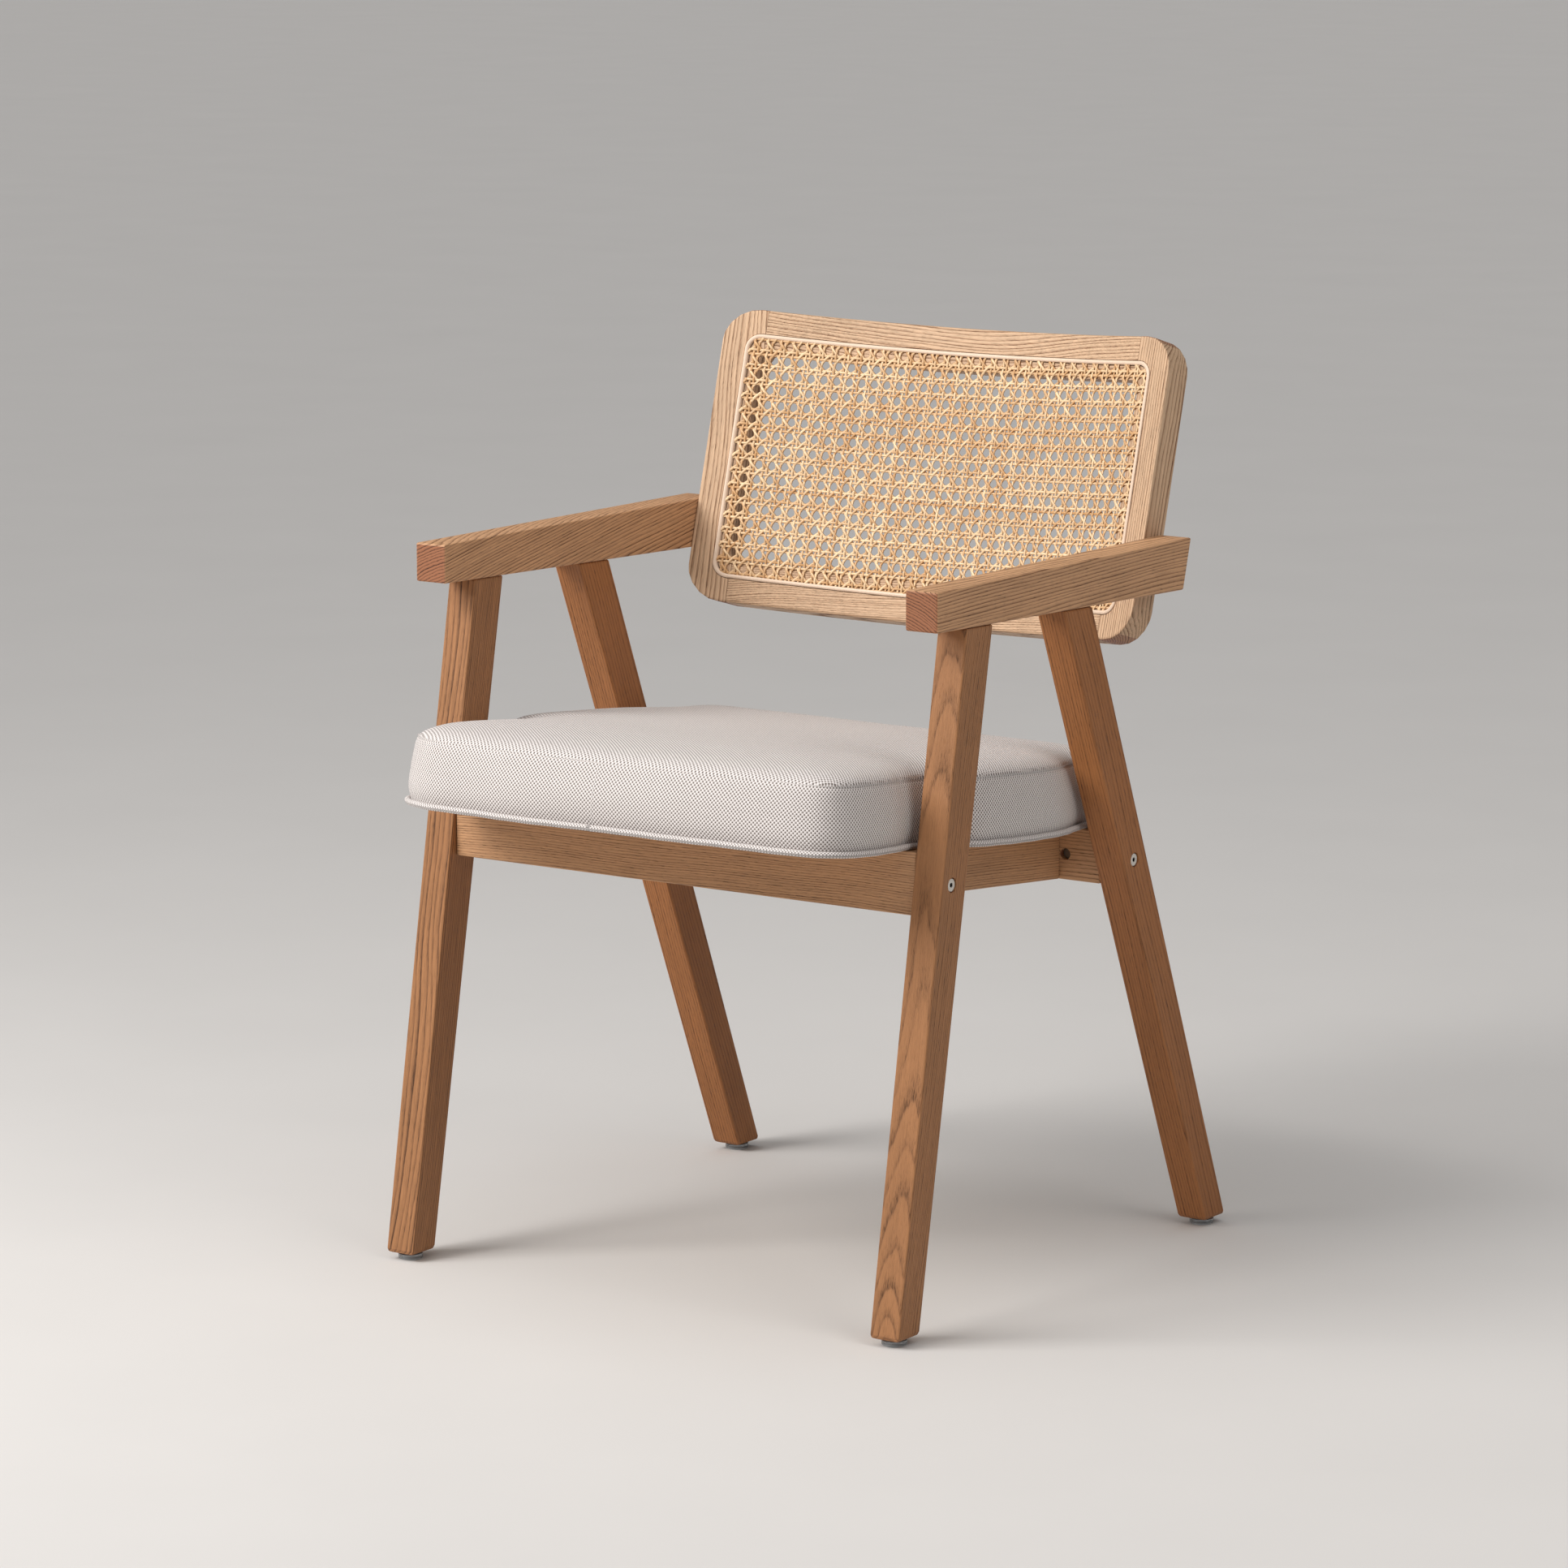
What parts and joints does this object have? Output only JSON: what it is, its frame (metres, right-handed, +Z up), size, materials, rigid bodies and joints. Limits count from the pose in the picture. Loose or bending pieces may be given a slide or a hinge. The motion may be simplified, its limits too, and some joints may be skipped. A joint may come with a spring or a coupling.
{
  "type": "wooden armchair",
  "caption": "Wooden armchair with A-shaped sides, flat arms, a curved cane back panel in a rounded frame and a boxed fabric seat with piping.",
  "frame": {"origin": "on the floor, below the middle of the chair's bounding box", "axes": "+Z up, the chair faces -Y, +X is the sitter's left side"},
  "size_m": [0.55, 0.6209, 0.814],
  "materials": {
    "arm_wood": "oiled ash, warm brown",
    "leg_wood": "oiled ash, warm brown",
    "rail_wood": "oiled ash, warm brown",
    "back_wood": "oiled ash, lighter",
    "dowel_beech": "plain beech",
    "plywood": "sanded plywood",
    "cane": "natural woven cane",
    "spline_reed": "smooth pale reed",
    "foam": "soft upholstery foam",
    "seat_fabric": "off-white basket weave",
    "piping_fabric": "off-white basket weave",
    "glide_plastic": "translucent",
    "bolt_steel": "zinc plated",
    "nut_steel": "zinc plated",
    "screw_steel": "zinc plated"
  },
  "bodies": {
    "root": {"arm_left": "arm_wood", "arm_right": "arm_wood", "leg_front_left": "leg_wood", "leg_front_right": "leg_wood", "leg_rear_left": "leg_wood", "leg_rear_right": "leg_wood", "glide_front_left": "glide_plastic", "glide_front_right": "glide_plastic", "glide_rear_left": "glide_plastic", "glide_rear_right": "glide_plastic", "front_rail": "rail_wood", "rear_rail": "rail_wood", "side_rail_left": "rail_wood", "side_rail_right": "rail_wood", "back_stile_left": "back_wood", "back_stile_right": "back_wood", "back_top_rail": "back_wood", "back_bottom_rail": "back_wood", "cane_panel": "cane", "cane_spline": "spline_reed", "seat_board": "plywood", "seat_foam": "foam", "seat_cover": "seat_fabric", "seat_piping": "piping_fabric", "bolt_front_left": "bolt_steel", "bolt_front_right": "bolt_steel", "bolt_rear_left": "bolt_steel", "bolt_rear_right": "bolt_steel", "barrel_nut_front_left": "nut_steel", "barrel_nut_front_right": "nut_steel", "barrel_nut_rear_left": "nut_steel", "barrel_nut_rear_right": "nut_steel", "seat_screw_front_left": "screw_steel", "seat_screw_front_right": "screw_steel", "seat_screw_rear_left": "screw_steel", "seat_screw_rear_right": "screw_steel", "arm_dowel_front_left_1": "dowel_beech", "arm_dowel_front_left_2": "dowel_beech", "arm_dowel_front_right_1": "dowel_beech", "arm_dowel_front_right_2": "dowel_beech", "arm_dowel_rear_left_1": "dowel_beech", "arm_dowel_rear_left_2": "dowel_beech", "arm_dowel_rear_right_1": "dowel_beech", "arm_dowel_rear_right_2": "dowel_beech", "rail_dowel_front_left": "dowel_beech", "rail_dowel_front_right": "dowel_beech", "rail_dowel_rear_left": "dowel_beech", "rail_dowel_rear_right": "dowel_beech", "side_rail_tenon_front_left": "dowel_beech", "side_rail_tenon_front_right": "dowel_beech", "side_rail_tenon_rear_left": "dowel_beech", "side_rail_tenon_rear_right": "dowel_beech", "back_tenon_top_left": "dowel_beech", "back_tenon_top_right": "dowel_beech", "back_tenon_bottom_left": "dowel_beech", "back_tenon_bottom_right": "dowel_beech", "back_dowel_left_1": "dowel_beech", "back_dowel_left_2": "dowel_beech", "back_dowel_right_1": "dowel_beech", "back_dowel_right_2": "dowel_beech"}
  },
  "joints": []
}
